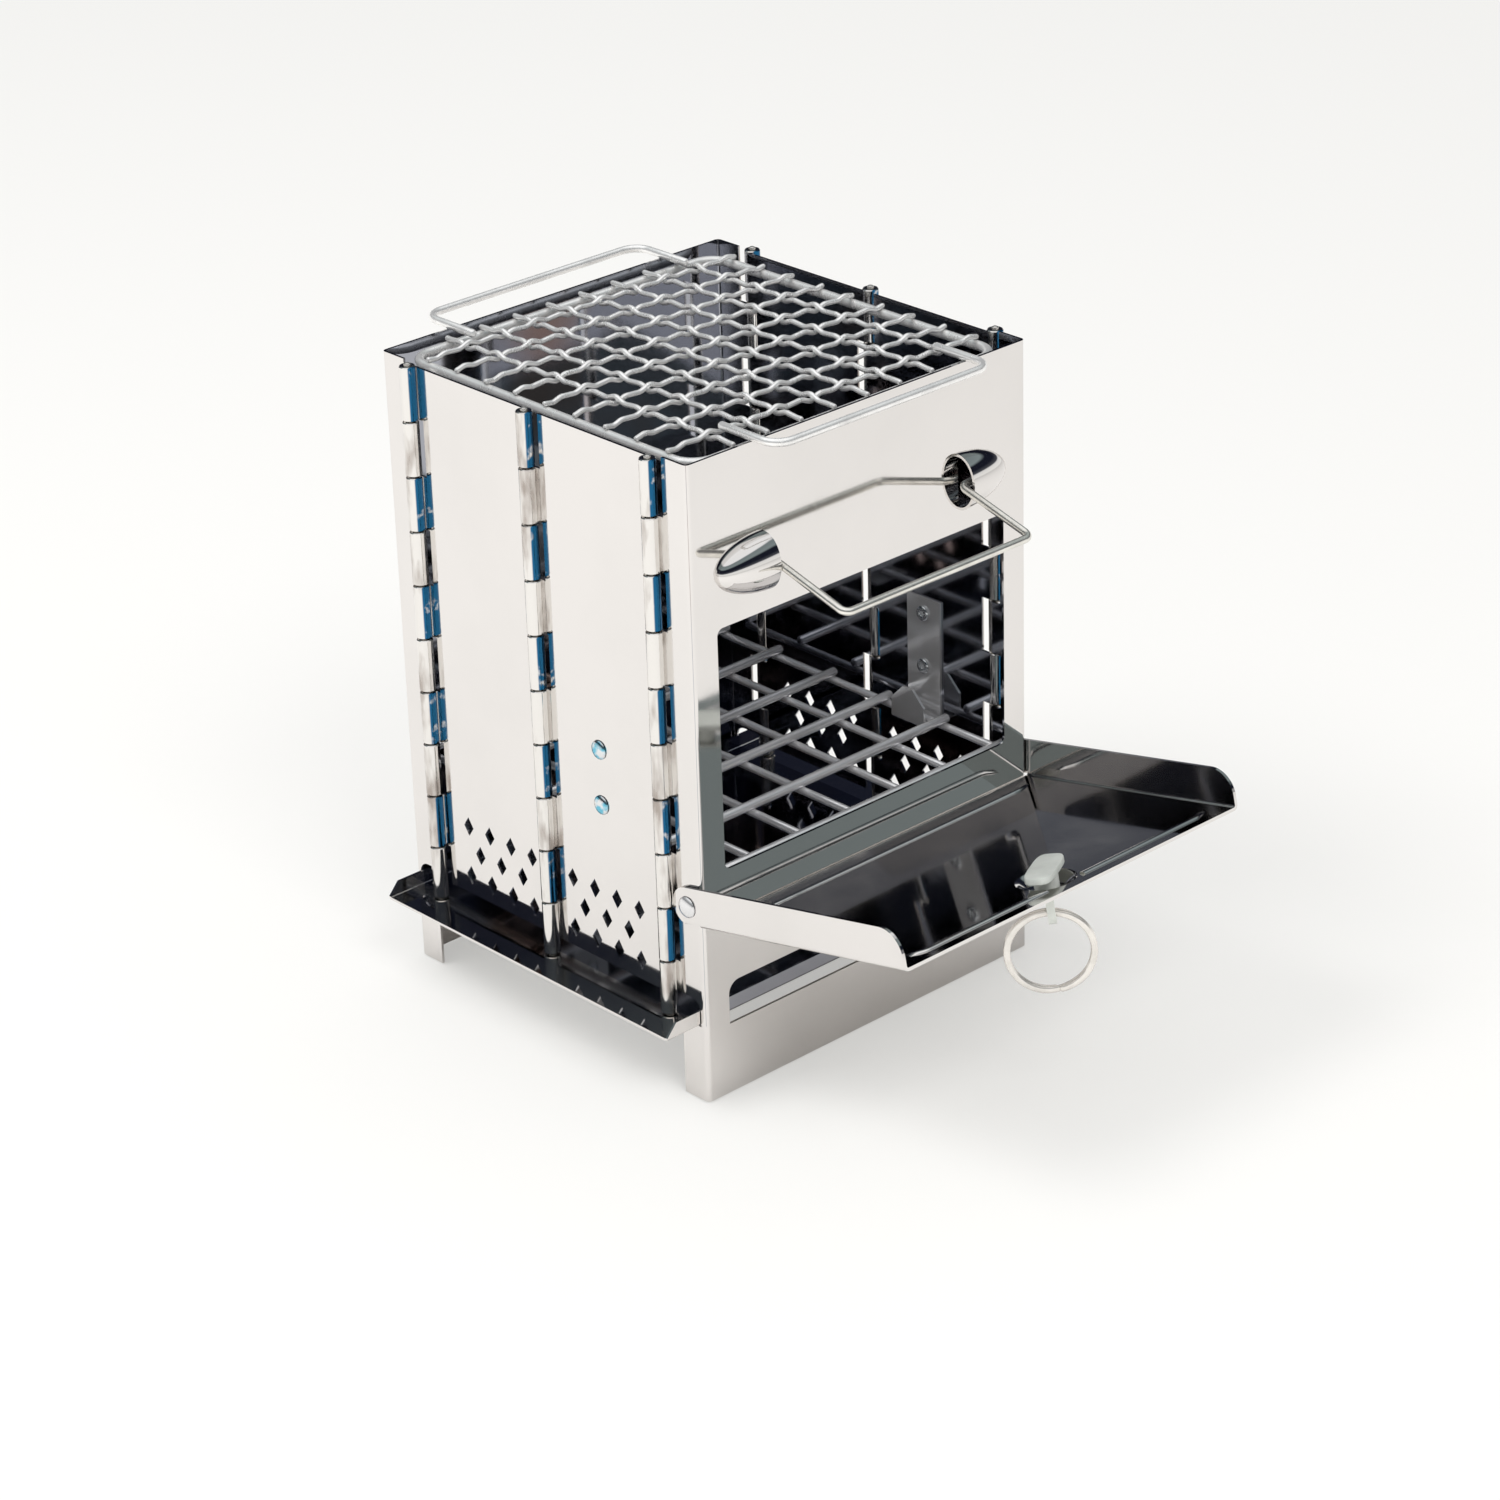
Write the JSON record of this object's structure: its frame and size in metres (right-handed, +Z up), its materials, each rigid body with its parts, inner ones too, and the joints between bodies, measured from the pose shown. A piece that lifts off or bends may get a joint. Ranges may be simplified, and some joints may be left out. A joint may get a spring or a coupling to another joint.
{
  "type": "rocket stove",
  "caption": "Folding twig stove of polished steel sheet on piano hinges, with feed flap, carrying bail, lift-off wire grate, fuel grid and sliding ash tray.",
  "frame": {"origin": "on the ground, under the middle of the whole object with its flap open and grate handles on", "axes": "+Z up, the feed door and its open flap face -Y, +X is to the right seen from behind the flap looking at the door"},
  "size_m": [0.16, 0.2271, 0.2028],
  "materials": {
    "polished_sheet": "mirror polished",
    "steel_wire": "bright drawn wire",
    "cast_latch": "matte cast",
    "nickel_ring": "nickel plated"
  },
  "bodies": {
    "front_wall": {"front_panel": "polished_sheet", "left_front_hinge_pin": "steel_wire", "right_front_hinge_pin": "steel_wire"},
    "left_front_leaf": {"left_front_leaf": "polished_sheet", "left_middle_hinge_pin": "steel_wire", "left_grid_bracket": "polished_sheet", "left_bracket_rivet_upper": "polished_sheet", "left_bracket_rivet_lower": "polished_sheet"},
    "right_front_leaf": {"right_front_leaf": "polished_sheet", "right_middle_hinge_pin": "steel_wire", "right_grid_bracket": "polished_sheet", "right_bracket_rivet_upper": "polished_sheet", "right_bracket_rivet_lower": "polished_sheet"},
    "left_rear_leaf": {"left_rear_leaf": "polished_sheet"},
    "right_rear_leaf": {"right_rear_leaf": "polished_sheet"},
    "back_wall": {"back_panel": "polished_sheet", "left_rear_hinge_pin": "steel_wire", "right_rear_hinge_pin": "steel_wire", "rear_grid_bracket": "polished_sheet", "rear_bracket_rivet_upper": "polished_sheet", "rear_bracket_rivet_lower": "polished_sheet"},
    "feed_flap": {"feed_flap": "polished_sheet", "left_flap_rivet": "polished_sheet", "right_flap_rivet": "polished_sheet"},
    "latch": {"latch_cam": "cast_latch", "latch_stem": "cast_latch"},
    "pull_ring": {"split_ring": "nickel_ring"},
    "bail": {"bail_handle": "steel_wire"},
    "cooking_grate": {"grate_frame": "steel_wire", "grate_mesh": "steel_wire", "grate_front_handle": "steel_wire", "grate_rear_handle": "steel_wire"},
    "fuel_grid": {"fuel_grid": "steel_wire"},
    "ash_tray": {"ash_tray": "polished_sheet"}
  },
  "joints": [
    {"name": "left_front_fold", "type": "hinge", "parent": "front_wall", "child": "left_front_leaf", "pos_m": [-0.0687, -0.01589, 0], "axis": [0, 0, -1], "range_deg": [0, 3]},
    {"name": "left_middle_fold", "type": "hinge", "parent": "left_front_leaf", "child": "left_rear_leaf", "pos_m": [-0.0687, 0.03631, 0], "axis": [0, 0, -1], "range_deg": [-6, 0]},
    {"name": "back_wall_fold", "type": "hinge", "parent": "left_rear_leaf", "child": "back_wall", "pos_m": [-0.0687, 0.08851, 0], "axis": [0, 0, -1], "range_deg": [0, 3]},
    {"name": "right_front_fold", "type": "hinge", "parent": "front_wall", "child": "right_front_leaf", "pos_m": [0.0687, -0.01589, 0], "axis": [0, 0, 1], "range_deg": [0, 3]},
    {"name": "right_middle_fold", "type": "hinge", "parent": "right_front_leaf", "child": "right_rear_leaf", "pos_m": [0.0687, 0.03631, 0], "axis": [0, 0, 1], "range_deg": [-6, 0]},
    {"name": "flap_hinge", "type": "hinge", "parent": "front_wall", "child": "feed_flap", "pos_m": [0, -0.02489, 0.0632], "axis": [-1, 0, 0], "range_deg": [0, 78]},
    {"name": "latch_turn", "type": "hinge", "parent": "feed_flap", "child": "latch", "pos_m": [0, -0.10134, 0.07291], "axis": [0, 0.2079, 0.9781], "range_deg": [-30, 60]},
    {"name": "ring_swing", "type": "hinge", "parent": "latch", "child": "pull_ring", "pos_m": [0, -0.10296, 0.06418], "axis": [0.7314, -0.682, 0], "range_deg": [-50, 50]},
    {"name": "bail_swing", "type": "hinge", "parent": "front_wall", "child": "bail", "pos_m": [0, -0.03209, 0.1636], "axis": [-1, 0, 0], "range_deg": [-73, 100]},
    {"name": "grate_lift", "type": "slide", "parent": "front_wall", "child": "cooking_grate", "axis": [0, 0, 1], "range_m": [0, 0.15]},
    {"name": "fuel_grid_lift", "type": "slide", "parent": "front_wall", "child": "fuel_grid", "axis": [0, 0, 1], "range_m": [0, 0.12]},
    {"name": "ash_tray_slide", "type": "slide", "parent": "front_wall", "child": "ash_tray", "axis": [1, 0, 0], "range_m": [-0.15, 0.15]}
  ],
  "couplings": [
    {"joint": "left_middle_fold", "follows": "left_front_fold", "ratio": -2},
    {"joint": "back_wall_fold", "follows": "left_front_fold", "ratio": 1},
    {"joint": "right_front_fold", "follows": "left_front_fold", "ratio": 1},
    {"joint": "right_middle_fold", "follows": "left_front_fold", "ratio": -2}
  ]
}
